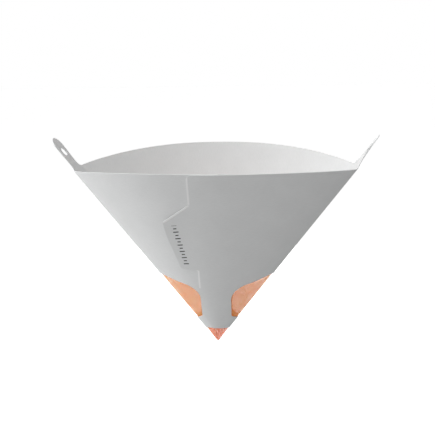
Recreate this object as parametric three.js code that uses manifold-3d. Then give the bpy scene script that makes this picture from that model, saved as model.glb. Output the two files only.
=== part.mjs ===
// Paper cone paint strainer: a folded paper sheet with two ears, and a mesh cone glued inside it.
// Units are millimetres. X is the width between the ears, Y the depth, Z up, with the tip down.
// The origin is the middle of the line between the two ear holes.
import * as THREE from "three";
import { mergeVertices } from "three/addons/utils/BufferGeometryUtils.js";
import Module from "manifold-3d";

const DEG = Math.PI / 180;

// The opened cone. The blank is half a disc, so a quarter of it covers a quarter of the cone.
const BLANK_ANGLE = 180 * DEG;
const QUARTER = BLANK_ANGLE / 4;
const SLANT_END = 150;
const SLANT_FRONT = 137.9;
const RIM_CURVE = 1.75;
const END_LEAN = 36.1 * DEG;
const END_FLAT_WIDTH = 14.5;
const FOLD_RADIUS = 7.3;
const PAPER = 0.4;
const SLANT_TIP = 13.2;

// Ears and their hanging holes.
const EAR_HEAD_RADIUS = 6.6;
const EAR_NECK_WIDTH = 11.8;
const EAR_FLARE = 5;
const EAR_FLARE_RISE = 6;
const EAR_LENGTH = 21.6;
const HOLE_DIAMETER = 5.6;
const HOLE_FROM_EAR_TIP = 10.6;

// Side windows, laid out in the flat blank with x and y square to the middle of the front leg.
const LEG_WIDTH = 19.6;
const WINDOW_TOP = 50;
const WINDOW_CORNER = 11;
const WINDOW_END_CORNER = 18;
const WINDOW_FOOT = 23;
const WINDOW_FOOT_CORNER = 3;

// Glued lap on the front, with a wide tab part way up. It is laid out in the same flat frame.
const LAP_TOP = 12.9;
const LAP_BOTTOM = 10.2;
const LAP_CORNER = 4;
const LAP_SETBACK = 0.3;
const LAP_FADE_START = 3;
const TAB_TOP = 116.7;
const TAB_SHOULDER = 103.3;
const TAB_BELLY = 92.5;
const TAB_BOTTOM = 65.6;
const TAB_REACH = 28.3;
const TAB_BELLY_REACH = 27;
const TAB_BOTTOM_REACH = 20.6;
const TAB_CORNER = 1.5;

// Mesh cone. Its real threads are far finer; the grid of openings is drawn this coarse on purpose.
const MESH_TOP = 74;
const MESH_LIFT = 0.6;
const MESH_CLEARANCE = 0.2;
const MESH_TIP_LIFT = 0.3;
const MESH_PITCH = 5.6;
const MESH_GAP = 3.4;
const MESH_BORDER = 2.6;

// Facets.
const PANEL_STEPS = 6;
const FOLD_STEPS = 3;
const CORNER_STEPS = 4;
const EAR_STEPS = 6;
const HOLE_STEPS = 20;
const RIM_STEP = 4 * DEG;
const RIM_PAST_EAR = 1 * DEG;
const WELD = 1e-4;
const POINT_GRID = 1e-3;

// The search for the depth of the mouth.
const SEARCH_STEPS = 60;
const SEARCH_MARGIN = 0.02;

// Sizes that follow from the ones above.
const rimHeight = SLANT_END * Math.cos(END_LEAN);
const earTip = SLANT_END + EAR_LENGTH;
const headCentre = earTip - EAR_HEAD_RADIUS;
const holeSlant = earTip - HOLE_FROM_EAR_TIP;
const hangHeight = holeSlant * Math.cos(END_LEAN);
const legHalf = LEG_WIDTH / 2;
const lapRootDepth = PAPER / 2;
const lapEndDepth = PAPER / 8;

// Half of the cone's cut at height one, from the middle of the left end to the middle of the front:
// a flat end, a rounded fold, then one long arc.
function quarterSection(frontDepth) {
  const endHalf = END_FLAT_WIDTH / 2 / rimHeight;
  const radius = FOLD_RADIUS / rimHeight;
  const endX = Math.tan(END_LEAN);
  const across = endX - radius;
  const drop = frontDepth - radius - endHalf;
  const arcCentre = ((across * across) / drop - (endHalf + frontDepth - radius)) / 2;
  const arcRadius = arcCentre + frontDepth;
  const turn = Math.atan2(arcCentre + endHalf, across);
  const points = [new THREE.Vector3(-endX, 0, 1), new THREE.Vector3(-endX, -endHalf, 1)];
  for (let i = 1; i <= FOLD_STEPS; i += 1) {
    const a = Math.PI + (turn * i) / FOLD_STEPS;
    const x = -endX + radius + radius * Math.cos(a);
    points.push(new THREE.Vector3(x, -endHalf + radius * Math.sin(a), 1));
  }
  for (let i = 1; i <= PANEL_STEPS; i += 1) {
    const a = Math.PI + turn + ((Math.PI / 2 - turn) * i) / PANEL_STEPS;
    points.push(new THREE.Vector3(arcRadius * Math.cos(a), arcCentre + arcRadius * Math.sin(a), 1));
  }
  return points;
}

// The angles that the lines through the tip take in the flat blank.
function flatAngles(points) {
  const angles = [0];
  for (let i = 1; i < points.length; i += 1) {
    angles.push(angles[i - 1] + points[i - 1].angleTo(points[i]));
  }
  return angles;
}

// The depth of the front is what makes this quarter take up exactly a quarter of the blank.
function solveFrontDepth() {
  let low = (END_FLAT_WIDTH / 2 + FOLD_RADIUS) / rimHeight + SEARCH_MARGIN;
  let high = Math.tan(END_LEAN) * (1 - SEARCH_MARGIN);
  for (let i = 0; i < SEARCH_STEPS; i += 1) {
    const middle = (low + high) / 2;
    const angles = flatAngles(quarterSection(middle));
    if (angles[angles.length - 1] < QUARTER) {
      low = middle;
    } else {
      high = middle;
    }
  }
  return (low + high) / 2;
}

// Every line through the tip, once around: its flat angle, its direction and the outward normal.
function buildRulings() {
  const points = quarterSection(solveFrontDepth());
  const angles = flatAngles(points);
  const leftFront = points.map((p, i) => ({ angle: angles[i] - QUARTER, point: p }));
  const mirrored = (list, turnAt, flip) =>
    list
      .slice(0, -1)
      .reverse()
      .map((r) => ({ angle: 2 * turnAt - r.angle, point: r.point.clone().multiply(flip) }));
  const front = leftFront.concat(mirrored(leftFront, 0, new THREE.Vector3(-1, 1, 1)));
  const rightBack = mirrored(front.filter((r) => r.angle >= -WELD), QUARTER, new THREE.Vector3(1, -1, 1));
  const leftBack = rightBack
    .map((r) => ({ angle: -r.angle, point: r.point.clone().multiply(new THREE.Vector3(-1, 1, 1)) }))
    .reverse();
  const ring = leftBack.concat(front, rightBack);
  const count = ring.length - 1;
  return ring.map((r, i) => {
    const before = ring[i === 0 ? count - 1 : i - 1].point;
    const after = ring[i === count ? 1 : i + 1].point;
    const along = after.clone().sub(before);
    const direction = r.point.clone().normalize();
    const normal = along.cross(direction).normalize();
    return { angle: r.angle, direction, normal };
  });
}

const rulings = buildRulings();

// The direction and the outward normal at any flat angle, between those of the rulings beside it.
function rulingAt(angle) {
  let i = rulings.findIndex((r) => r.angle > angle);
  i = i < 1 ? (i === 0 ? 1 : rulings.length - 1) : i;
  const a = rulings[i - 1];
  const b = rulings[i];
  const k = THREE.MathUtils.clamp((angle - a.angle) / (b.angle - a.angle), 0, 1);
  return {
    direction: a.direction.clone().lerp(b.direction, k),
    normal: a.normal.clone().lerp(b.normal, k),
  };
}

// Flat layouts are lists of Vector2(angle, slant). Square blank coordinates turn into them here.
function polar(x, y) {
  return new THREE.Vector2(Math.atan2(x, y), Math.hypot(x, y));
}

// The rim is lowest in the middle of the front and the back, and highest at the two ends.
function rimSlant(angle) {
  const fromPanelMiddle = Math.min(Math.abs(angle), 2 * QUARTER - Math.abs(angle)) / QUARTER;
  return SLANT_FRONT + (SLANT_END - SLANT_FRONT) * fromPanelMiddle ** RIM_CURVE;
}

// A polygon with each corner rounded to its own radius. A corner is [x, y, radius].
function roundedPolygon(corners) {
  const points = [];
  corners.forEach(([x, y, radius], i) => {
    const corner = new THREE.Vector2(x, y);
    if (radius === 0) {
      points.push(corner);
      return;
    }
    const previous = corners[(i + corners.length - 1) % corners.length];
    const next = corners[(i + 1) % corners.length];
    const toPrevious = new THREE.Vector2(previous[0], previous[1]).sub(corner).normalize();
    const toNext = new THREE.Vector2(next[0], next[1]).sub(corner).normalize();
    const half = toPrevious.angleTo(toNext) / 2;
    const inward = toPrevious.clone().add(toNext).normalize();
    const centre = corner.clone().addScaledVector(inward, radius / Math.sin(half));
    const start = corner.clone().addScaledVector(toPrevious, radius / Math.tan(half));
    const turn = Math.sign(toNext.cross(toPrevious)) * (Math.PI - 2 * half);
    for (let k = 0; k <= CORNER_STEPS; k += 1) {
      points.push(start.clone().rotateAround(centre, (turn * k) / CORNER_STEPS));
    }
  });
  return points;
}

// One ear, from its root on the rim, around its round head and back to the rim on the other side.
function earPoints(side) {
  const endAngle = side * QUARTER;
  const neck = EAR_NECK_WIDTH / 2;
  const rootAngle = (neck + EAR_FLARE) / SLANT_END;
  const rootSlant = rimSlant(QUARTER - rootAngle);
  const root = new THREE.Vector2(rootSlant * Math.sin(rootAngle), rootSlant * Math.cos(rootAngle));
  const shape = new THREE.Path();
  shape.moveTo(root.x, root.y);
  shape.quadraticCurveTo(neck, root.y, neck, root.y + EAR_FLARE_RISE);
  shape.lineTo(EAR_HEAD_RADIUS, headCentre);
  shape.absarc(0, headCentre, EAR_HEAD_RADIUS, 0, Math.PI, false);
  shape.lineTo(-neck, root.y + EAR_FLARE_RISE);
  shape.quadraticCurveTo(-neck, root.y, -root.x, root.y);
  return shape
    .getPoints(EAR_STEPS)
    .map((p) => new THREE.Vector2(endAngle + Math.atan2(p.x, p.y), Math.hypot(p.x, p.y)));
}

// The round hanging hole in one ear.
function holePoints(side) {
  const points = [];
  for (let i = 0; i < HOLE_STEPS; i += 1) {
    const a = (2 * Math.PI * i) / HOLE_STEPS;
    const x = (HOLE_DIAMETER / 2) * Math.cos(a);
    const y = holeSlant + (HOLE_DIAMETER / 2) * Math.sin(a);
    points.push(new THREE.Vector2(side * QUARTER + Math.atan2(x, y), Math.hypot(x, y)));
  }
  return points;
}

// One window: a rounded square over the end fold, with its corner near the tip cut off straight.
function windowPoints(side) {
  const foot = WINDOW_FOOT * Math.SQRT2 - legHalf;
  const outline = roundedPolygon([
    [legHalf, foot, WINDOW_FOOT_CORNER],
    [legHalf, WINDOW_TOP, WINDOW_CORNER],
    [WINDOW_TOP, WINDOW_TOP, WINDOW_END_CORNER],
    [WINDOW_TOP, legHalf, WINDOW_CORNER],
    [foot, legHalf, WINDOW_FOOT_CORNER],
  ]);
  return outline.map((p) => polar(p.x, p.y)).map((p) => new THREE.Vector2(side * p.x, p.y));
}

// The rim from the back, over the right ear, along the front, over the left ear to the back again.
function sheetOutline() {
  const points = [new THREE.Vector2(-2 * QUARTER, SLANT_TIP), new THREE.Vector2(2 * QUARTER, SLANT_TIP)];
  const rightEar = earPoints(1);
  const leftEar = earPoints(-1);
  const rim = (from, to) => {
    const steps = Math.max(1, Math.round(Math.abs(from - to) / RIM_STEP));
    for (let i = 0; i < steps; i += 1) {
      const angle = from + ((to - from) * i) / steps;
      points.push(new THREE.Vector2(angle, rimSlant(angle)));
    }
  };
  rim(2 * QUARTER, rightEar[0].x);
  points.push(...rightEar);
  rim(rightEar[rightEar.length - 1].x - RIM_PAST_EAR, leftEar[0].x);
  points.push(...leftEar);
  rim(leftEar[leftEar.length - 1].x - RIM_PAST_EAR, -2 * QUARTER);
  points.push(new THREE.Vector2(-2 * QUARTER, rimSlant(-2 * QUARTER)));
  return points;
}

// Cuts a convex polygon down to the strip between two values of one coordinate.
function clipStrip(polygon, axis, low, high) {
  let result = polygon;
  for (const [limit, keep] of [[low, 1], [high, -1]]) {
    const input = result;
    result = [];
    input.forEach((p, i) => {
      const q = input[(i + 1) % input.length];
      const dp = keep * (p.getComponent(axis) - limit);
      const dq = keep * (q.getComponent(axis) - limit);
      if (dp >= 0) {
        result.push(p);
      }
      if (dp * dq < 0) {
        result.push(dp < 0 ? p.clone().lerp(q, dp / (dp - dq)) : q.clone().lerp(p, dq / (dq - dp)));
      }
    });
    if (result.length < 3) {
      return [];
    }
  }
  return result;
}

// Fills flat regions with triangles that never cross a ruling or one of the given slants.
// Regions side by side share the points of the edge between them.
function flatTriangles(regions, slants) {
  const triangles = [];
  for (const { outline, holes } of regions) {
    const points = outline.concat(...holes);
    for (const face of THREE.ShapeUtils.triangulateShape(outline, holes)) {
      const corners = face.map((i) => points[i]);
      for (let r = 1; r < rulings.length; r += 1) {
        const strip = clipStrip(corners, 0, rulings[r - 1].angle, rulings[r].angle);
        for (let s = 1; s < slants.length; s += 1) {
          const cell = strip.length ? clipStrip(strip, 1, slants[s - 1], slants[s]) : [];
          for (let k = 2; k < cell.length; k += 1) {
            triangles.push([cell[0], cell[k - 1], cell[k]]);
          }
        }
      }
    }
  }
  return triangles;
}

// Folds flat triangles onto the cone twice, as an outer and an inner skin, and walls in the edges.
function foldedSheet(triangles, outer, inner) {
  const ids = new Map();
  const positions = [[], []];
  const idOf = (p) => {
    const place = rulingAt(p.x).direction.multiplyScalar(p.y);
    const key = place.toArray().map((v) => Math.round(v / POINT_GRID)).join();
    if (!ids.has(key)) {
      ids.set(key, ids.size);
      positions[0].push(...outer(p, rulingAt(p.x)).toArray());
      positions[1].push(...inner(p, rulingAt(p.x)).toArray());
    }
    return ids.get(key);
  };
  const faces = [];
  for (const [a, b, c] of triangles) {
    const turn = b.clone().sub(a).cross(c.clone().sub(a));
    const face = (turn < 0 ? [a, b, c] : [a, c, b]).map(idOf);
    if (new Set(face).size === 3) {
      faces.push(face);
    }
  }
  const edges = new Map();
  for (const [a, b, c] of faces) {
    for (const [p, q] of [[a, b], [b, c], [c, a]]) {
      if (edges.has(`${q},${p}`)) {
        edges.delete(`${q},${p}`);
      } else {
        edges.set(`${p},${q}`, [p, q]);
      }
    }
  }
  const count = ids.size;
  const index = [];
  for (const [a, b, c] of faces) {
    index.push(a, c, b);
    index.push(a + count, b + count, c + count);
  }
  for (const [p, q] of edges.values()) {
    index.push(p, q, q + count, p, q + count, p + count);
  }
  const geometry = new THREE.BufferGeometry();
  geometry.setAttribute("position", new THREE.Float32BufferAttribute(positions.flat(), 3));
  geometry.setIndex(index);
  return geometry;
}

const offsetBy = (distance) => (p, ruling) =>
  ruling.direction.clone().multiplyScalar(p.y).addScaledVector(ruling.normal, distance);

const wasm = await Module();
wasm.setup();

function toSolid(geometry) {
  const bare = geometry.clone();
  bare.deleteAttribute("normal");
  bare.deleteAttribute("uv");
  const merged = mergeVertices(bare, WELD);
  return new wasm.Manifold(
    new wasm.Mesh({
      numProp: 3,
      vertProperties: merged.attributes.position.array,
      triVerts: new Uint32Array(merged.index.array),
    })
  );
}

function toGeometry(solid) {
  const mesh = solid.getMesh();
  const geometry = new THREE.BufferGeometry();
  geometry.setAttribute("position", new THREE.BufferAttribute(new Float32Array(mesh.vertProperties), 3));
  geometry.setIndex(new THREE.BufferAttribute(new Uint32Array(mesh.triVerts), 1));
  geometry.computeVertexNormals();
  return geometry;
}

// The paper wall, with its windows and ear holes.
function paperWall() {
  const holes = [windowPoints(1), windowPoints(-1), holePoints(1), holePoints(-1)];
  const triangles = flatTriangles([{ outline: sheetOutline(), holes }], [0, Infinity]);
  return foldedSheet(triangles, offsetBy(0), offsetBy(-PAPER));
}

// The lap is a second thickness over the wall. It ends in an edge on the left and fades on the right.
function paperLap() {
  const top = SLANT_FRONT - LAP_SETBACK;
  const bottom = SLANT_TIP + LAP_SETBACK;
  const lapEdge = legHalf - LAP_SETBACK;
  const narrow = WINDOW_FOOT + LAP_SETBACK;
  const left = roundedPolygon([
    [LAP_FADE_START, top, 0],
    [-LAP_TOP, top, LAP_CORNER],
    [-LAP_TOP, TAB_TOP, TAB_CORNER],
    [-TAB_REACH, TAB_SHOULDER, TAB_CORNER],
    [-TAB_BELLY_REACH, TAB_BELLY, 0],
    [-TAB_BOTTOM_REACH, TAB_BOTTOM, TAB_CORNER],
    [-LAP_BOTTOM, TAB_BOTTOM, TAB_CORNER],
    [-LAP_BOTTOM, WINDOW_TOP, 0],
    [-lapEdge, WINDOW_TOP - WINDOW_CORNER, 0],
    [-lapEdge, narrow, 0],
    [-LAP_FADE_START, bottom, 0],
    [LAP_FADE_START, bottom, 0],
  ]);
  const right = roundedPolygon([
    [lapEdge, top, 0],
    [LAP_FADE_START, top, 0],
    [LAP_FADE_START, bottom, 0],
    [lapEdge, narrow, 0],
  ]);
  const regions = [left, right].map((list) => ({ outline: list.map((p) => polar(p.x, p.y)), holes: [] }));
  const fade = (p, ruling) => {
    const x = p.y * Math.sin(p.x);
    const share = THREE.MathUtils.clamp((lapEdge - x) / (lapEdge - LAP_FADE_START), 0, 1);
    return offsetBy(THREE.MathUtils.lerp(-lapEndDepth, PAPER, share))(p, ruling);
  };
  return foldedSheet(flatTriangles(regions, [0, Infinity]), fade, offsetBy(-lapRootDepth));
}

// True where a circle of the given radius around (x, y) stays inside the outline.
function isClear(outline, x, y, radius) {
  const points = outline.map((p) => new THREE.Vector2(p.y * Math.sin(p.x), p.y * Math.cos(p.x)));
  let inside = false;
  points.forEach((a, i) => {
    const b = points[(i + 1) % points.length];
    if (a.y > y !== b.y > y && x < a.x + ((y - a.y) * (b.x - a.x)) / (b.y - a.y)) {
      inside = !inside;
    }
  });
  return inside && points.every((p) => Math.hypot(p.x - x, p.y - y) > radius);
}

// The openings between the threads, on a square grid that is symmetric about the end fold.
function meshGaps(side) {
  const window = windowPoints(1);
  const half = MESH_GAP / 2;
  const gaps = [];
  const first = legHalf + MESH_BORDER + half;
  for (let x = first; x < WINDOW_TOP - MESH_BORDER; x += MESH_PITCH) {
    for (let y = first; y < WINDOW_TOP - MESH_BORDER; y += MESH_PITCH) {
      if (isClear(window, x, y, half + MESH_BORDER)) {
        const corners = [[-half, -half], [half, -half], [half, half], [-half, half]];
        const places = corners.map(([i, j]) => polar(x + i, y + j));
        gaps.push(places.map((p) => new THREE.Vector2(side * p.x, p.y)));
      }
    }
  }
  return gaps;
}

// The mesh cone stands just inside the paper. Below the paper it comes down to the cone's own tip.
function meshCone() {
  const outline = [
    new THREE.Vector2(-2 * QUARTER, 0),
    new THREE.Vector2(2 * QUARTER, 0),
    new THREE.Vector2(2 * QUARTER, MESH_TOP),
    new THREE.Vector2(-2 * QUARTER, MESH_TOP),
  ];
  const regions = [
    { outline, holes: [windowPoints(1), windowPoints(-1)] },
    { outline: windowPoints(1), holes: meshGaps(1) },
    { outline: windowPoints(-1), holes: meshGaps(-1) },
  ];
  const frontSlope = Math.abs(rulingAt(0).normal.z);
  const lift = (PAPER + MESH_CLEARANCE) / frontSlope;
  const raised = (extra) => (p, ruling) => {
    const share = Math.min(1, p.y / SLANT_TIP);
    const height = THREE.MathUtils.lerp(MESH_TIP_LIFT, lift, share) + extra;
    return ruling.direction.clone().multiplyScalar(p.y).add(new THREE.Vector3(0, 0, height));
  };
  return foldedSheet(flatTriangles(regions, [0, SLANT_TIP, MESH_TOP]), raised(0), raised(MESH_LIFT));
}

const paperMaterial = new THREE.MeshStandardMaterial({ color: 0xe9e7e4, roughness: 0.8, metalness: 0 });
const meshMaterial = new THREE.MeshStandardMaterial({ color: 0xf0b27c, roughness: 0.6, metalness: 0 });

function addPiece(group, name, geometry, material) {
  const placed = geometry.clone();
  placed.translate(0, 0, -hangHeight);
  const mesh = new THREE.Mesh(placed, material);
  mesh.name = name;
  group.add(mesh);
}

const strainer = new THREE.Group();
strainer.name = "paint_strainer";
const paper = toSolid(paperWall()).add(toSolid(paperLap()));
addPiece(strainer, "paper_cone", toGeometry(paper), paperMaterial);
addPiece(strainer, "mesh_filter", toGeometry(toSolid(meshCone())), meshMaterial);

export default strainer;
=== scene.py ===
# %% [markdown]
# # A paper cone paint strainer
# A strainer like this is one sheet of white board, cut as half a disc with two ears. It is folded
# flat, glued along one lap and popped open, so it stands as a cone with a flattened oval mouth.
# A fine orange nylon mesh is glued inside and shows in two side windows and at the tip.
# This script dresses the imported solids. It starts by loading them.

# %% Load the frame
import math

import bpy
from mathutils import Matrix, Vector


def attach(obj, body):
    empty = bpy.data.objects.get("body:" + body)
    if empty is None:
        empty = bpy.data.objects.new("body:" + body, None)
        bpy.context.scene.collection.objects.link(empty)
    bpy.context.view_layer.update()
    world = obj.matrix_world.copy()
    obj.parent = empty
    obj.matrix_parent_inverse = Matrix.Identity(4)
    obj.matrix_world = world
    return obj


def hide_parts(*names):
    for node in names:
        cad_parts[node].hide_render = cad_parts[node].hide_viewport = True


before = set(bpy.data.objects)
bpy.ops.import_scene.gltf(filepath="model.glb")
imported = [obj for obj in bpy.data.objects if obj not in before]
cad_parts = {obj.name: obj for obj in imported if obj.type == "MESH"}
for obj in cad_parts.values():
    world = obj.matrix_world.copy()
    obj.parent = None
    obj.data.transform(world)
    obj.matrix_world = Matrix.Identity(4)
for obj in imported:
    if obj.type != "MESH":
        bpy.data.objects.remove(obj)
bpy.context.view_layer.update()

MM = 0.001
print("packed nodes:", sorted(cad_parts))

# %% [markdown]
# ## Sizes
# The sizes are the ones that the solids were built from. The blank is half a disc, so a quarter of
# it covers a quarter of the cone. Heights are counted from the tip of the cone, but the frame's
# origin is the middle of the line between the two ear holes, so every place drops by that height.

# %% Sizes of the cone
QUARTER = math.radians(45)
SLANT_END = 150 * MM
SLANT_FRONT = 137.9 * MM
RIM_CURVE = 1.75
END_LEAN = math.radians(36.1)
END_FLAT_WIDTH = 14.5 * MM
FOLD_RADIUS = 7.3 * MM
PAPER = 0.4 * MM
SLANT_TIP = 13.2 * MM

EAR_LENGTH = 21.6 * MM
EAR_HEAD_RADIUS = 6.6 * MM
EAR_NECK_WIDTH = 11.8 * MM
EAR_FLARE = 5 * MM
EAR_FLARE_RISE = 6 * MM
HOLE_DIAMETER = 5.6 * MM
HOLE_FROM_EAR_TIP = 10.6 * MM

LEG_HALF = 9.8 * MM
WINDOW_TOP = 50 * MM
WINDOW_CORNER = 11 * MM
WINDOW_END_CORNER = 18 * MM
WINDOW_FOOT = 23 * MM
WINDOW_FOOT_CORNER = 3 * MM

RIM_HEIGHT = SLANT_END * math.cos(END_LEAN)
EAR_TIP = SLANT_END + EAR_LENGTH
HOLE_SLANT = EAR_TIP - HOLE_FROM_EAR_TIP
HANG_HEIGHT = HOLE_SLANT * math.cos(END_LEAN)
print("the tip hangs", round(HANG_HEIGHT / MM, 1), "mm under the ear holes")

# %% [markdown]
# ## The camera
# The camera comes first, because every later choice is judged through it. It looks slightly down
# into the mouth from the front, a little to the right, with a slight roll. A lens of about 54 mm at
# 0.42 m gives the same perspective as the picture. The small shifts only centre the frame.

# %% Camera
CAMERA_DISTANCE = 0.42
CAMERA_RISE = math.radians(16.2)
CAMERA_SIDE = math.radians(3.46)
CAMERA_ROLL = math.radians(1.11)
AIM_HEIGHT = 85 * MM
FILM_WIDTH = 36
NEAR_LIMIT = 0.01
PHOTO_SIZE = 435
FOCAL_PIXELS = 657
AIM_PIXEL = (215.8, 220.4)

aim = Vector((0, 0, AIM_HEIGHT - HANG_HEIGHT))
back = Vector(
    (
        math.sin(CAMERA_SIDE) * math.cos(CAMERA_RISE),
        -math.cos(CAMERA_SIDE) * math.cos(CAMERA_RISE),
        math.sin(CAMERA_RISE),
    )
)
level_right = Vector((math.cos(CAMERA_SIDE), math.sin(CAMERA_SIDE), 0))
level_up = back.cross(level_right)
right = level_right * math.cos(CAMERA_ROLL) - level_up * math.sin(CAMERA_ROLL)
up = level_right * math.sin(CAMERA_ROLL) + level_up * math.cos(CAMERA_ROLL)
turn = Matrix((right, up, back)).transposed()

bpy.ops.object.camera_add(location=aim + back * CAMERA_DISTANCE, rotation=turn.to_euler())
camera = bpy.context.object
camera.name = "camera"
camera.data.sensor_width = FILM_WIDTH
camera.data.lens = FOCAL_PIXELS / PHOTO_SIZE * FILM_WIDTH
camera.data.shift_x = (PHOTO_SIZE / 2 - AIM_PIXEL[0]) / PHOTO_SIZE
camera.data.shift_y = (AIM_PIXEL[1] - PHOTO_SIZE / 2) / PHOTO_SIZE
camera.data.clip_start = NEAR_LIMIT
bpy.context.scene.camera = camera
print("lens", round(camera.data.lens, 1), "mm")

# %% [markdown]
# ## The cone's own geometry
# A cone rolled from flat sheet is made of straight lines through its tip, called rulings. Cut at
# height one, each quarter is a flat end, a rounded fold and one long arc. Laying the rulings side by
# side gives the angle that each takes in the flat blank, and the depth of the mouth is the one at
# which that quarter uses up exactly a quarter of the half disc. It is found by halving a range.

# %% Rulings
FOLD_STEPS = 10
PANEL_STEPS = 40


def quarter_section(front_depth):
    """The cut at height one, from the middle of the left end to the middle of the front."""
    end_half = END_FLAT_WIDTH / 2 / RIM_HEIGHT
    radius = FOLD_RADIUS / RIM_HEIGHT
    end_x = math.tan(END_LEAN)
    across = end_x - radius
    drop = front_depth - radius - end_half
    arc_centre = (across * across / drop - (end_half + front_depth - radius)) / 2
    arc_radius = arc_centre + front_depth
    bend = math.atan2(arc_centre + end_half, across)
    points = [Vector((-end_x, 0, 1)), Vector((-end_x, -end_half, 1))]
    for i in range(1, FOLD_STEPS + 1):
        a = math.pi + bend * i / FOLD_STEPS
        points.append(Vector((-end_x + radius + radius * math.cos(a), -end_half + radius * math.sin(a), 1)))
    for i in range(1, PANEL_STEPS + 1):
        a = math.pi + bend + (math.pi / 2 - bend) * i / PANEL_STEPS
        points.append(Vector((arc_radius * math.cos(a), arc_centre + arc_radius * math.sin(a), 1)))
    return points


def flat_angles(points):
    """The angle in the flat blank of each ruling, counted from the first."""
    angles = [0.0]
    for a, b in zip(points, points[1:]):
        angles.append(angles[-1] + a.angle(b))
    return angles


SHALLOWEST = 0.15
DEEPEST = 0.98 * math.tan(END_LEAN)
SEARCH_STEPS = 50

low, high = SHALLOWEST, DEEPEST
for step in range(SEARCH_STEPS):
    middle = (low + high) / 2
    if flat_angles(quarter_section(middle))[-1] < QUARTER:
        low = middle
    else:
        high = middle
section = quarter_section((low + high) / 2)
angles = flat_angles(section)
left_front = [(angle - QUARTER, point) for angle, point in zip(angles, section)]
right_front = [(-a, Vector((-p.x, p.y, 1))) for a, p in reversed(left_front[:-1])]
front = left_front + right_front
behind = [(2 * QUARTER - a, Vector((p.x, -p.y, 1))) for a, p in reversed(front[:-1])]
ring = front + behind
print(len(ring), "rulings, mouth depth over width", round(section[-1].y / section[0].x, 3))

# %% [markdown]
# Two helpers turn a place in the flat blank into a place on the cone. The blank's own angle may run
# past a full turn, because the sheet laps over itself. A place is also pushed in or out along the
# surface's normal, which is how one layer goes under the other.

# %% From the flat blank to the cone
FULL_TURN = 4 * QUARTER
directions = [p.normalized() for a, p in ring]
normals = []
for i in range(len(ring)):
    before = ring[i - 1][1]
    after = ring[(i + 1) % len(ring)][1]
    normals.append((after - before).cross(directions[i]).normalized())
ring_angles = [a for a, p in ring] + [ring[0][0] + FULL_TURN]
directions.append(directions[0])
normals.append(normals[0])


def ruling_at(angle):
    """Direction from the tip and outward normal of the ruling at this angle of the blank."""
    start = ring_angles[0]
    angle = (angle - start) % FULL_TURN + start
    low, high = 0, len(ring_angles) - 1
    while high - low > 1:
        middle = (low + high) // 2
        if ring_angles[middle] <= angle:
            low = middle
        else:
            high = middle
    k = (angle - ring_angles[low]) / (ring_angles[high] - ring_angles[low])
    return directions[low].lerp(directions[high], k), normals[low].lerp(normals[high], k)


def on_cone(angle, slant, depth):
    """The place in the frame of a flat place, this far under the paper's outer face."""
    direction, normal = ruling_at(angle)
    return direction * slant - normal * depth - Vector((0, 0, HANG_HEIGHT))


def rim_slant(angle):
    """How far the rim is from the tip: least in the middle of a panel, most at the two ends."""
    from_middle = abs((angle + QUARTER) % (2 * QUARTER) - QUARTER) / QUARTER
    return SLANT_FRONT + (SLANT_END - SLANT_FRONT) * from_middle**RIM_CURVE


# %% [markdown]
# ## The outline of the blank
# The blank is drawn flat, as the die cuts it: y runs up the middle of the front leg and x across it.
# A polygon with its own radius at each corner gives the windows, the lap and its tab. The ears
# stand on the two end folds.

# %% Outlines in the flat
CORNER_STEPS = 8
CIRCLE_STEPS = 48


def rounded(corners):
    """A closed polygon, with corners given as (x, y, radius)."""
    points = []
    for i, (x, y, radius) in enumerate(corners):
        corner = Vector((x, y))
        if radius == 0:
            points.append(corner)
            continue
        to_last = (Vector(corners[i - 1][:2]) - corner).normalized()
        to_next = (Vector(corners[(i + 1) % len(corners)][:2]) - corner).normalized()
        half = to_last.angle(to_next) / 2
        centre = corner + (to_last + to_next).normalized() * radius / math.sin(half)
        start = corner + to_last * radius / math.tan(half)
        side = 1 if to_last.cross(to_next) < 0 else -1
        sweep = side * (math.pi - 2 * half)
        for k in range(CORNER_STEPS + 1):
            points.append(centre + Matrix.Rotation(sweep * k / CORNER_STEPS, 2) @ (start - centre))
    return points


def turned(points, angle):
    """Points turned clockwise about the tip, the way the blank's angle grows."""
    return [Matrix.Rotation(-angle, 2) @ p for p in points]


def flat(angle, slant):
    """A flat place from its angle off the middle of the front leg and its distance from the tip."""
    return Vector((slant * math.sin(angle), slant * math.cos(angle)))


def round_points(radius, centre_slant, steps):
    """A circle whose middle lies this far up the y axis."""
    turns = [2 * math.pi * k / steps for k in range(steps)]
    return [Vector((radius * math.cos(a), centre_slant + radius * math.sin(a))) for a in turns]


window_foot = WINDOW_FOOT * math.sqrt(2) - LEG_HALF
window = rounded(
    [
        (LEG_HALF, window_foot, WINDOW_FOOT_CORNER),
        (LEG_HALF, WINDOW_TOP, WINDOW_CORNER),
        (WINDOW_TOP, WINDOW_TOP, WINDOW_END_CORNER),
        (WINDOW_TOP, LEG_HALF, WINDOW_CORNER),
        (window_foot, LEG_HALF, WINDOW_FOOT_CORNER),
    ]
)
neck = EAR_NECK_WIDTH / 2
root_angle = (neck + EAR_FLARE) / SLANT_END
root = flat(root_angle, rim_slant(QUARTER - root_angle))
head_centre = EAR_TIP - EAR_HEAD_RADIUS
neck_foot = Vector((neck, root.y))
neck_top = Vector((neck, root.y + EAR_FLARE_RISE))
half_ear = [root.copy()]
for k in range(1, CORNER_STEPS + 1):
    t = k / CORNER_STEPS
    half_ear.append((1 - t) ** 2 * root + 2 * t * (1 - t) * neck_foot + t * t * neck_top)
half_ear += round_points(EAR_HEAD_RADIUS, head_centre, CIRCLE_STEPS)[: CIRCLE_STEPS // 4 + 1]
ear = [Vector((-p.x, p.y)) for p in half_ear] + list(reversed(half_ear[:-1]))
ear_hole = round_points(HOLE_DIAMETER / 2, HOLE_SLANT, CIRCLE_STEPS)
print(len(window), "points around a window,", len(ear), "around an ear")

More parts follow.
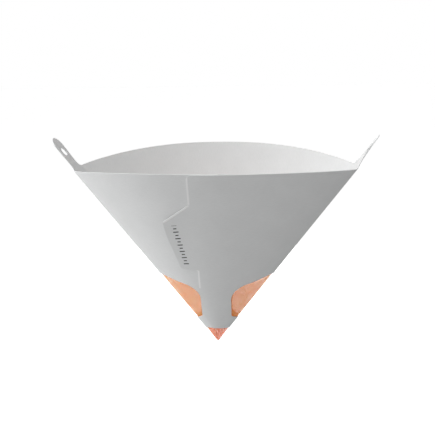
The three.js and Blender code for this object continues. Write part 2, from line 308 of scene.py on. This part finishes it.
# %% [markdown]
# ## The paper sheet
# The real sheet starts at the visible edge of the lap, runs right round the cone and ends hidden
# under the lap. It is drawn here in the same way, as one flat outline: the lap edge with its tab on
# the left, a full turn of rim with two ears, the hidden end on the far side of the front leg, and
# the cut at the tip. The windows and ear holes are outlines inside it.

# %% Outline of the sheet
LAP_TOP = 12.9 * MM
LAP_BOTTOM = 10.2 * MM
LAP_CORNER = 4 * MM
TAB_TOP = 116.7 * MM
TAB_SHOULDER = 103.3 * MM
TAB_BELLY = 92.5 * MM
TAB_BOTTOM = 65.6 * MM
TAB_REACH = 28.3 * MM
TAB_BELLY_REACH = 27 * MM
TAB_BOTTOM_REACH = 20.6 * MM
TAB_CORNER = 1.5 * MM
LAP_FOOT = 3 * MM
RIM_STEP = math.radians(1)
TIP_STEPS = 120

foot_height = math.sqrt(SLANT_TIP**2 - LAP_FOOT**2)
lap_edge = rounded(
    [
        (-LAP_FOOT, foot_height, 0),
        (-LEG_HALF, WINDOW_FOOT, 0),
        (-LEG_HALF, WINDOW_TOP - WINDOW_CORNER, 0),
        (-LAP_BOTTOM, WINDOW_TOP, 0),
        (-LAP_BOTTOM, TAB_BOTTOM, TAB_CORNER),
        (-TAB_BOTTOM_REACH, TAB_BOTTOM, TAB_CORNER),
        (-TAB_BELLY_REACH, TAB_BELLY, 0),
        (-TAB_REACH, TAB_SHOULDER, TAB_CORNER),
        (-LAP_TOP, TAB_TOP, TAB_CORNER),
        (-LAP_TOP, SLANT_FRONT, LAP_CORNER),
        (0, SLANT_FRONT, 0),
    ]
)


def rim(start, end):
    """Points along the rim from one angle of the blank up to another."""
    steps = max(1, round((end - start) / RIM_STEP))
    along = [start + (end - start) * i / steps for i in range(steps)]
    return [flat(angle, rim_slant(angle)) for angle in along]


ear_reach = math.atan2(root.x, root.y)
outline = list(lap_edge)
outline += rim(RIM_STEP, QUARTER - ear_reach) + turned(ear, QUARTER)
outline += rim(QUARTER + ear_reach + RIM_STEP / 2, 3 * QUARTER - ear_reach) + turned(ear, 3 * QUARTER)
end_angle = FULL_TURN + math.asin(LEG_HALF / SLANT_FRONT)
outline += rim(3 * QUARTER + ear_reach + RIM_STEP / 2, end_angle)
hidden_end = [(LEG_HALF, SLANT_FRONT), (LEG_HALF, WINDOW_FOOT), (LAP_FOOT, foot_height)]
outline += turned([Vector(place) for place in hidden_end], FULL_TURN)
foot_angle = math.atan2(LAP_FOOT, foot_height)
tip_sweep = FULL_TURN + 2 * foot_angle
tip_angles = [FULL_TURN + foot_angle - tip_sweep * i / TIP_STEPS for i in range(1, TIP_STEPS)]
outline += [flat(angle, SLANT_TIP) for angle in tip_angles]

left_window = [Vector((-p.x, p.y)) for p in window]
openings = [
    window,
    turned(left_window, FULL_TURN),
    turned(ear_hole, QUARTER),
    turned(ear_hole, 3 * QUARTER),
]
print(len(outline), "points around the blank")

# %% [markdown]
# A flat curve fills itself and leaves its inner loops open, so it makes the blank in one step. It is
# turned into a mesh, and then scored along every ruling with bisect, which is what lets it bend
# there. Only then is each point moved to its place on the cone.

# %% Cut the flat blank


def make_active(piece):
    """Selects this piece alone, because an operator acts on all that is selected."""
    bpy.ops.object.select_all(action="DESELECT")
    piece.select_set(True)
    bpy.context.view_layer.objects.active = piece


def flat_blank(name, loops):
    """A flat filled mesh with the first loop outside and the others as openings."""
    curve = bpy.data.curves.new(name, "CURVE")
    curve.dimensions = "2D"
    curve.fill_mode = "BOTH"
    for loop in loops:
        spline = curve.splines.new("POLY")
        spline.points.add(len(loop) - 1)
        for point, place in zip(spline.points, loop):
            point.co = (place.x, place.y, 0, 1)
        spline.use_cyclic_u = True
    blank = bpy.data.objects.new(name, curve)
    bpy.context.scene.collection.objects.link(blank)
    make_active(blank)
    bpy.ops.object.convert(target="MESH")
    return bpy.context.object


def score(blank, angles):
    """Cuts the flat blank along straight lines through its tip."""
    make_active(blank)
    bpy.ops.object.mode_set(mode="EDIT")
    for angle in angles:
        bpy.ops.mesh.select_all(action="SELECT")
        bpy.ops.mesh.bisect(plane_co=(0, 0, 0), plane_no=(math.cos(angle), -math.sin(angle), 0))
    bpy.ops.object.mode_set(mode="OBJECT")


paper = flat_blank("paper_sheet", [outline] + openings)
ANGLE_DIGITS = 9
half_turn = sorted({round(a % math.pi, ANGLE_DIGITS) for a in ring_angles})
score(paper, half_turn)
blank_area = sum(face.area for face in paper.data.polygons)
print("scored blank:", len(paper.data.polygons), "faces,", round(blank_area / MM**2 / 100, 1), "square cm")

# %% [markdown]
# The board's own map is drawn while the sheet is still flat, so the print and the fibres lie on it
# as they do on the real blank. One unit of the map is 400 mm, which keeps the whole blank inside it.
# The sheet then bends. The hidden end dips under the lap by the thickness of one board and its glue,
# over a stretch so long that it can't be seen. The glue holds the lap only near its middle, so its
# edge and the tab spring off the cone a little. The right ear is twisted, as it is on the real one.

# %% Bend the sheet into a cone
GLUE = 0.05 * MM
MAP_SIZE = 0.4
MAP_CENTRE = 0.5
DIP_START = math.radians(40)
DIP_END = math.radians(24)
TAB_HOLD = 9 * MM
TAB_LIFT = 2.2 * MM
EAR_TWIST = math.radians(10)
TWIST_LEAN = 0.3 * MM
TWIST_START = SLANT_END
TWIST_RUN = 9 * MM
TWIST_REACH = 1.6 * EAR_HEAD_RADIUS
BOARD_SMOOTH_ANGLE = math.radians(25)


def smooth_step(value, low, high):
    """Grows smoothly from nothing at low to one at high."""
    t = min(1, max(0, (value - low) / (high - low)))
    return t * t * (3 - 2 * t)


def blank_angle(x, y):
    """The angle of a flat place, from the middle of the front leg round to the hidden end."""
    angle = math.atan2(x, y)
    return angle if angle > -math.pi / 2 else angle + 2 * math.pi


def on_map(place):
    """A flat place in the units of the map."""
    return place[0] / MAP_SIZE + MAP_CENTRE, place[1] / MAP_SIZE + MAP_CENTRE


def draw_map(piece):
    """Lays the flat blank's own x and y out as the piece's map."""
    layer = piece.data.uv_layers.active or piece.data.uv_layers.new()
    layer.name = "blank"
    for loop in piece.data.loops:
        layer.data[loop.index].uv = on_map(piece.data.vertices[loop.vertex_index].co)


def bend_paper(place):
    """Where a flat place of the sheet comes to lie in the frame."""
    angle = blank_angle(place.x, place.y)
    slant = math.hypot(place.x, place.y)
    past_left = angle - FULL_TURN
    depth = (PAPER + GLUE) * smooth_step(past_left, -DIP_START, -DIP_END)
    if angle < 0:
        depth = -TAB_LIFT * (max(0, -place.x - TAB_HOLD) / (TAB_REACH - TAB_HOLD)) ** 2
    bent = on_cone(angle, slant, depth)
    across = slant * math.sin(angle - QUARTER)
    if slant > TWIST_START and abs(across) < TWIST_REACH:
        share = smooth_step(slant, TWIST_START, TWIST_START + TWIST_RUN)
        twist = EAR_TWIST * share
        bent += ruling_at(QUARTER)[1] * across * math.sin(twist)
        bent.x -= TWIST_LEAN * share
        bent.y += across * (math.cos(twist) - 1)
    return bent


draw_map(paper)
for vertex in paper.data.vertices:
    vertex.co = bend_paper(vertex.co)
make_active(paper)
bpy.ops.object.modifier_add(type="SOLIDIFY")
board = paper.modifiers[-1]
board.thickness = PAPER
board.offset = -1
board.use_even_offset = True
bpy.ops.object.modifier_apply(modifier=board.name)
bpy.ops.object.shade_smooth_by_angle(angle=BOARD_SMOOTH_ANGLE)
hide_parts("paper_cone")
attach(paper, "root")
print("paper sheet:", len(paper.data.polygons), "faces")

# %% [markdown]
# ## The mesh filter
# The nylon is a half disc too, glued to the board before it is folded, so it bends with it. A flat
# grid stands for it: one side counts rulings, the other runs from the tip up. It lies against the
# board's inner face, a little deeper where the lap makes two thicknesses, and below the board it
# comes down to a small rounded point.

# %% Mesh cone
MESH_TOP = 74 * MM
MESH_THICKNESS = 0.2 * MM
MESH_GAP = 0.06 * MM
MESH_POINT = 0.8 * MM
MESH_RINGS = 40
RING_CROWDING = 1.5
ANGLE_SLACK = 1e-6
GRID_SIZE = 1


def bend_mesh(angle, slant):
    """Where a flat place of the cloth comes to lie in the frame, just inside the board."""
    from_front = abs((angle + math.pi / 2) % math.pi - math.pi / 2)
    two_boards = (PAPER + GLUE) * (1 - smooth_step(from_front, DIP_END, DIP_START))
    depth = PAPER + MESH_GAP + two_boards
    return on_cone(angle, slant, depth * min(1, slant / SLANT_TIP))


columns = len(ring_angles) - 1
bpy.ops.mesh.primitive_grid_add(x_subdivisions=columns, y_subdivisions=MESH_RINGS, size=GRID_SIZE)
mesh_filter = bpy.context.object
mesh_filter.name = "mesh_cone"
mesh_filter.data.name = "mesh_cone"
start_column = next(i for i, a in enumerate(ring_angles) if a >= 2 * QUARTER - ANGLE_SLACK)
flat_places = []
for vertex in mesh_filter.data.vertices:
    column = round((vertex.co.x / GRID_SIZE + 0.5) * columns)
    row = round((vertex.co.y / GRID_SIZE + 0.5) * MESH_RINGS)
    wrapped = start_column + column
    angle = ring_angles[wrapped % columns] + (FULL_TURN if wrapped >= columns else 0) - FULL_TURN
    slant = MESH_POINT + (MESH_TOP - MESH_POINT) * (row / MESH_RINGS) ** RING_CROWDING
    flat_places.append((angle, slant))
layer = mesh_filter.data.uv_layers.active
for loop in mesh_filter.data.loops:
    layer.data[loop.index].uv = on_map(flat(*flat_places[loop.vertex_index]))
for vertex, (angle, slant) in zip(mesh_filter.data.vertices, flat_places):
    vertex.co = bend_mesh(angle, slant)
print(columns, "columns and", MESH_RINGS, "rows of cloth, the top", round(MESH_TOP / MM), "mm from the tip")

# %% [markdown]
# The grid's first and last columns meet, so their points are merged. That leaves a tiny ring open at
# the point, which one face fills, and Solidify gives the cloth its thickness. The real mesh is cut
# from flat cloth.

# %% Close the mesh cone
MERGE_DISTANCE = 0.01 * MM
POINT_HEIGHT = 0.3 * MM
CLOTH_SMOOTH_ANGLE = math.radians(35)

make_active(mesh_filter)
bpy.ops.object.mode_set(mode="EDIT")
bpy.ops.mesh.select_all(action="SELECT")
bpy.ops.mesh.remove_doubles(threshold=MERGE_DISTANCE)
bpy.ops.mesh.select_all(action="DESELECT")
bpy.ops.object.mode_set(mode="OBJECT")
lowest = min(v.co.z for v in mesh_filter.data.vertices)
for vertex in mesh_filter.data.vertices:
    vertex.select = vertex.co.z < lowest + POINT_HEIGHT
bpy.ops.object.mode_set(mode="EDIT")
bpy.ops.mesh.select_mode(type="VERT")
bpy.ops.mesh.edge_face_add()
bpy.ops.object.mode_set(mode="OBJECT")
bpy.ops.object.modifier_add(type="SOLIDIFY")
skin = mesh_filter.modifiers[-1]
skin.thickness = MESH_THICKNESS
skin.offset = -1
bpy.ops.object.modifier_apply(modifier=skin.name)
bpy.ops.object.shade_smooth_by_angle(angle=CLOTH_SMOOTH_ANGLE)
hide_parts("mesh_filter")
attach(mesh_filter, "root")
print("mesh cone:", len(mesh_filter.data.polygons), "faces")

# %% [markdown]
# ## Materials
# One function turns a written sRGB colour into the linear one that the shader wants. Another adds a
# node, sets its properties, fills or links its inputs and gives back one of its outputs, so each
# material reads as a list of what its surface does.

# %% Helpers for materials


def linear(code):
    """A linear colour from an sRGB hex code."""
    parts = [int(code[i : i + 2], 16) / 255 for i in (0, 2, 4)]
    return [p / 12.92 if p <= 0.04045 else ((p + 0.055) / 1.055) ** 2.4 for p in parts] + [1]


def set_inputs(node, inputs):
    """Fills a node's inputs with values, or links them to the outputs of other nodes."""
    for key, value in inputs.items():
        if isinstance(value, bpy.types.NodeSocket):
            node.id_data.links.new(value, node.inputs[key])
        else:
            node.inputs[key].default_value = value


def add_node(owner, kind, inputs=None, output=0, **settings):
    """Adds a shader node to a material or the world, and gives one of its outputs."""
    node = owner.node_tree.nodes.new("ShaderNode" + kind)
    for key, value in settings.items():
        setattr(node, key, value)
    set_inputs(node, inputs or {})
    return node.outputs[output]


def new_material(name):
    material = bpy.data.materials.new(name)
    material.use_nodes = True
    return material, material.node_tree.nodes["Principled BSDF"]


print("the grey 808080 is", round(linear("808080")[0], 3), "in linear light")

# %% [markdown]
# **Board.** The sheet is bleached, uncoated board: bright, dead matt, with a faint cloudiness from
# its pulp and short fibres lying along the machine direction. Real fibres are 1 to 3 mm long and
# hundredths of a millimetre thick, so they are drawn thicker than they are, or they would not show.

# %% Bleached board
CLOUD_SIZE = 14 * MM
FIBRE_LENGTH = 3 * MM
FIBRE_WIDTH = 0.5 * MM

board_paper, board_shader = new_material("bleached_board_uncoated")
uv = add_node(board_paper, "UVMap", uv_map="blank")
cloud_inputs = {"Vector": uv, "Scale": MAP_SIZE / CLOUD_SIZE, "Detail": 3, "Roughness": 0.55}
clouds = add_node(board_paper, "TexNoise", cloud_inputs, output="Fac")
fibre_scale = (MAP_SIZE / FIBRE_LENGTH, MAP_SIZE / FIBRE_WIDTH, 1)
stretched = add_node(board_paper, "Mapping", {"Vector": uv, "Scale": fibre_scale})
fibre_inputs = {"Vector": stretched, "Scale": 1, "Detail": 4, "Roughness": 0.6}
fibres = add_node(board_paper, "TexNoise", fibre_inputs, output="Fac")
cloud_colours = {"Color1": linear("E3E4E4"), "Color2": linear("EBECEC")}
cloud_tone = add_node(board_paper, "MixRGB", {"Fac": clouds, **cloud_colours})
fibre_colours = {"Color1": linear("F1F1F1"), "Color2": linear("FFFFFF")}
fibre_tone = add_node(board_paper, "MixRGB", {"Fac": fibres, **fibre_colours})
both_tones = {"Fac": 1, "Color1": cloud_tone, "Color2": fibre_tone}
pulp = add_node(board_paper, "MixRGB", both_tones, blend_type="MULTIPLY")
print("one map holds", round(MAP_SIZE / CLOUD_SIZE), "clouds and", round(MAP_SIZE / FIBRE_LENGTH), "fibres")

# %% [markdown]
# **Ticks.** The tab is printed with a plain row of ticks. They are worked out from two distances on
# the blank: the one along the row picks the tick and its length, and the one across it ends the tick.
# Every second tick is short, as on any plain scale.

# %% Ticks on the tab
TICK_START = (-16.9 * MM, 70 * MM)
TICK_END = (-22.2 * MM, 101 * MM)
TICK_PITCH = 2.6 * MM
TICK_WIDTH = 0.75 * MM
TICK_LONG = 3.2 * MM
TICK_SHORT = 1.9 * MM


def places_by_line(start, end):
    """Distances along and beside a straight line of the blank, and a one between its two ends."""
    line = Vector(end) - Vector(start)
    way = line.normalized() * MAP_SIZE
    away = add_node(board_paper, "VectorMath", {0: uv, 1: (*on_map(start), 0)}, operation="SUBTRACT")
    distances = []
    for x, y in ((way.x, way.y), (-way.y, way.x)):
        pair = {0: away, 1: (x, y, 0)}
        distances.append(add_node(board_paper, "VectorMath", pair, output="Value", operation="DOT_PRODUCT"))
    along, across = distances
    beside = add_node(board_paper, "Math", {0: across}, operation="ABSOLUTE")
    past_start = add_node(board_paper, "Math", {0: along, 1: 0}, operation="GREATER_THAN")
    before_end = add_node(board_paper, "Math", {0: along, 1: line.length}, operation="LESS_THAN")
    between = add_node(board_paper, "Math", {0: past_start, 1: before_end}, operation="MULTIPLY")
    return along, beside, between


along, beside, between = places_by_line(TICK_START, TICK_END)
in_pitch = add_node(board_paper, "Math", {0: along, 1: TICK_PITCH}, operation="MODULO")
on_tick = add_node(board_paper, "Math", {0: in_pitch, 1: TICK_WIDTH}, operation="LESS_THAN")
in_pair = add_node(board_paper, "Math", {0: along, 1: 2 * TICK_PITCH}, operation="MODULO")
is_long = add_node(board_paper, "Math", {0: in_pair, 1: TICK_PITCH}, operation="LESS_THAN")
half_lengths = {0: is_long, 1: (TICK_LONG - TICK_SHORT) / 2, 2: TICK_SHORT / 2}
half_length = add_node(board_paper, "Math", half_lengths, operation="MULTIPLY_ADD")
in_length = add_node(board_paper, "Math", {0: beside, 1: half_length}, operation="LESS_THAN")
in_row = add_node(board_paper, "Math", {0: between, 1: on_tick}, operation="MULTIPLY")
ink = add_node(board_paper, "Math", {0: in_row, 1: in_length}, operation="MULTIPLY")
row_length = (Vector(TICK_END) - Vector(TICK_START)).length
print("room for", math.ceil(row_length / TICK_PITCH), "ticks in", round(row_length / MM, 1), "mm")

# %% [markdown]
# ** Highlight on the cut edge.** A thin pale line is painted along the lap's cut edge as a highlight,
# where the edge catches the light from the left and above. It has three straight stretches: above the
# tab, along the tab's upper edge, and below the tab. The edges that face away from the light get none.

# %% Painted highlight on the lap's cut edge
EDGE_HIGHLIGHT_WIDTH = 1 * MM
HIGHLIGHTED_EDGES = [
    ((-LAP_TOP, SLANT_FRONT), (-LAP_TOP, TAB_TOP)),
    ((-LAP_TOP, TAB_TOP), (-TAB_REACH, TAB_SHOULDER)),
    ((-LAP_BOTTOM, TAB_BOTTOM), (-LAP_BOTTOM, WINDOW_TOP)),
]

# pale marks the painted highlight, on the stretches of cut edge that face the light.
pale = 0
for start, end in HIGHLIGHTED_EDGES:
    along, beside, between = places_by_line(start, end)
    near = add_node(board_paper, "Math", {0: beside, 1: EDGE_HIGHLIGHT_WIDTH}, operation="LESS_THAN")
    on_highlight = add_node(board_paper, "Math", {0: between, 1: near}, operation="MULTIPLY")
    pale = add_node(board_paper, "Math", {0: on_highlight, 1: pale}, operation="MAXIMUM")
print(len(HIGHLIGHTED_EDGES), "stretches of pale edge")

# %% [markdown]
# The painted highlight goes over the pulp, and the ink over both. The fibres also give a slight
# relief, and the surface is as rough as uncoated board, with hardly any shine.

# %% Put the board together
# The pale colour F3F3F3 is the painted highlight on the lap's cut edge.
with_highlight = add_node(board_paper, "MixRGB", {"Fac": pale, "Color1": pulp, "Color2": linear("F3F3F3")})
printed = add_node(board_paper, "MixRGB", {"Fac": ink, "Color1": with_highlight, "Color2": linear("2E2E30")})
relief = add_node(board_paper, "Bump", {"Height": fibres, "Strength": 0.1, "Distance": 0.03 * MM})
set_inputs(board_shader, {"Base Color": printed, "Normal": relief})
set_inputs(board_shader, {"Roughness": 0.85, "IOR": 1.45, "Specular IOR Level": 0.3})
paper.data.materials.clear()
paper.data.materials.append(board_paper)
print("board:", len(board_paper.node_tree.nodes), "nodes")

# %% [markdown]
# **Nylon mesh.** It is plain woven from orange monofilament, with about five threads to the
# millimetre. That is finer than one pixel, so the threads are drawn 0.7 mm apart. Each crossing stands
# up where one thread rides over the other.

# %% Orange nylon mesh
THREAD_PITCH = 0.7 * MM

nylon, nylon_shader = new_material("woven_nylon_orange")
uv = add_node(nylon, "UVMap", uv_map="UVMap")
half_turns = math.pi * MAP_SIZE / THREAD_PITCH
phase = add_node(nylon, "VectorMath", {0: uv, 1: (half_turns, half_turns, 0)}, operation="MULTIPLY")
phases = add_node(nylon, "SeparateXYZ", {"Vector": phase}).node.outputs
waves = []
for axis in "XY":
    wave = add_node(nylon, "Math", {0: phases[axis]}, operation="SINE")
    waves.append(add_node(nylon, "Math", {0: wave}, operation="ABSOLUTE"))
warp, weft = waves
threads = add_node(nylon, "Math", {0: warp, 1: weft}, operation="MAXIMUM")
thread_share = add_node(nylon, "Math", {0: threads, 1: 2}, operation="POWER")
# The deeper orange FA9248 in the gaps between the threads is painted shade; the threads take the lighter
# FFB96C.
thread_and_gap_shade_colours = {"Color1": linear("FA9248"), "Color2": linear("FFB96C")}
weave_with_gap_shade = add_node(nylon, "MixRGB", {"Fac": thread_share, **thread_and_gap_shade_colours})
crossings = add_node(nylon, "Math", {0: warp, 1: weft}, operation="ADD")
relief = add_node(nylon, "Bump", {"Height": crossings, "Strength": 0.35, "Distance": 0.08 * MM})
print("threads", round(THREAD_PITCH / MM, 1), "mm apart, half a turn of the wave for each")

# %% [markdown]
# A third of the cloth is open, so light passes through it from inside. Each of its two drawn faces is
# see-through by the square root of that share, and the nylon itself lets light through below its
# surface. Near the tip a deeper orange is painted as shade, for the cone's narrow, shaded end where
# the cloth's layers lie close together.

# %% Put the nylon together
OPEN_SHARE = 0.34
TIP_SHADE_FULL = 10 * MM
TIP_SHADE_FADE = 20 * MM

tip_on_map = (MAP_CENTRE, MAP_CENTRE, 0)
from_tip = add_node(nylon, "VectorMath", {0: uv, 1: tip_on_map}, output="Value", operation="DISTANCE")
fade = {"From Min": TIP_SHADE_FULL / MAP_SIZE, "From Max": TIP_SHADE_FADE / MAP_SIZE, "To Min": 1, "To Max": 0}
tip_shade = add_node(nylon, "MapRange", {"Value": from_tip, **fade}, output="Result")
# The deeper orange FF8A2E is the painted shade near the tip.
shaded_tip = {"Fac": tip_shade, "Color1": weave_with_gap_shade, "Color2": linear("FF8A2E")}
set_inputs(nylon_shader, {"Base Color": add_node(nylon, "MixRGB", shaded_tip), "Normal": relief})
set_inputs(nylon_shader, {"Roughness": 0.5, "IOR": 1.53, "Specular IOR Level": 0.35})
set_inputs(nylon_shader, {"Subsurface Weight": 1, "Subsurface Radius": (1, 0.6, 0.4)})
set_inputs(nylon_shader, {"Subsurface Scale": 0.5 * MM, "Alpha": 1 - math.sqrt(OPEN_SHARE)})
mesh_filter.data.materials.clear()
mesh_filter.data.materials.append(nylon)
print("each face of the cloth covers", round(1 - math.sqrt(OPEN_SHARE), 2))

# %% [markdown]
# ## Floor, backdrop and light
# The strainer hangs, so the floor lies well below its tip. The ground is plain white. The floor is
# pale and matt, so it takes the shadow, and a glow that only the camera sees lifts it towards white.

# %% Floor
FLOOR_DROP = 0.45
FLOOR_SIZE = 12
FLOOR_GLOW = 0.8

bpy.ops.mesh.primitive_plane_add(size=FLOOR_SIZE, location=(0, 0, -FLOOR_DROP))
floor = bpy.context.object
floor.name = "floor"
white_floor, floor_shader = new_material("white_floor")
set_inputs(floor_shader, {"Base Color": linear("D8D8D8"), "Roughness": 0.9})


def seen_directly(owner):
    """One for what the camera sees, also in a reflection or through glass, and otherwise nothing."""
    ray_kinds = add_node(owner, "LightPath").node.outputs
    direct = ray_kinds["Is Camera Ray"]
    for kind in ("Is Glossy Ray", "Is Transmission Ray"):
        direct = add_node(owner, "Math", {0: direct, 1: ray_kinds[kind]}, operation="MAXIMUM")
    return direct


seen = seen_directly(white_floor)
glow = add_node(white_floor, "Math", {0: seen, 1: FLOOR_GLOW}, operation="MULTIPLY")
white = add_node(white_floor, "Emission", {"Color": linear("FFFFFF"), "Strength": glow})
shown = add_node(white_floor, "AddShader", {0: floor_shader.outputs["BSDF"], 1: white})
set_inputs(white_floor.node_tree.nodes["Material Output"], {"Surface": shown})
floor.data.materials.append(white_floor)
print("floor", FLOOR_DROP, "m below the ear holes")

# %% [markdown]
# The world is white to the camera, and gives only a weak grey light to everything else.

# %% World
AMBIENT = 0.2

world = bpy.context.scene.world or bpy.data.worlds.new("studio")
bpy.context.scene.world = world
world.use_nodes = True
strengths = {0: seen_directly(world), 1: 1 - AMBIENT, 2: AMBIENT}
strength = add_node(world, "Math", strengths, operation="MULTIPLY_ADD")
set_inputs(world.node_tree.nodes["Background"], {"Color": linear("FFFFFF"), "Strength": strength})
print("world strength", AMBIENT, "for the light that falls on the strainer")

# %% [markdown]
# Five soft discs light the strainer. Two on the left, one level with it and one higher, make the
# board fade from left to right. One high in front fills the shaded side, one straight above lights
# the inside, and one behind and a little lower shines through the nylon.

# %% Soft lights
LIGHT_AIM = Vector((0, 0, -0.06))
SOFT_LIGHTS = [
    ("left_light", (-1.5, 0.1, 0), 0.9, 9.7),
    ("left_high_light", (-1.1, -0.3, 0.9), 0.9, 9.6),
    ("front_high_light", (0, -1.2, 0.9), 0.9, 5.6),
    ("top_light", (0, 0, 1.3), 1.2, 5.6),
    ("back_light", (0, 1.2, -0.3), 1.2, 9),
]

for name, place, width, watts in SOFT_LIGHTS:
    bpy.ops.object.light_add(type="AREA", location=place)
    lamp = bpy.context.object
    lamp.name = name
    lamp.data.shape = "DISK"
    lamp.data.size = width
    lamp.data.energy = watts
    lamp.rotation_euler = (LIGHT_AIM - Vector(place)).to_track_quat("-Z", "Y").to_euler()
print(len(SOFT_LIGHTS), "lights,", round(sum(watts for *rest, watts in SOFT_LIGHTS), 1), "W in all")

# %% [markdown]
# ## Finish
# The Standard view keeps the colours as they were written.

# %% Finish
bpy.context.scene.view_settings.view_transform = "Standard"
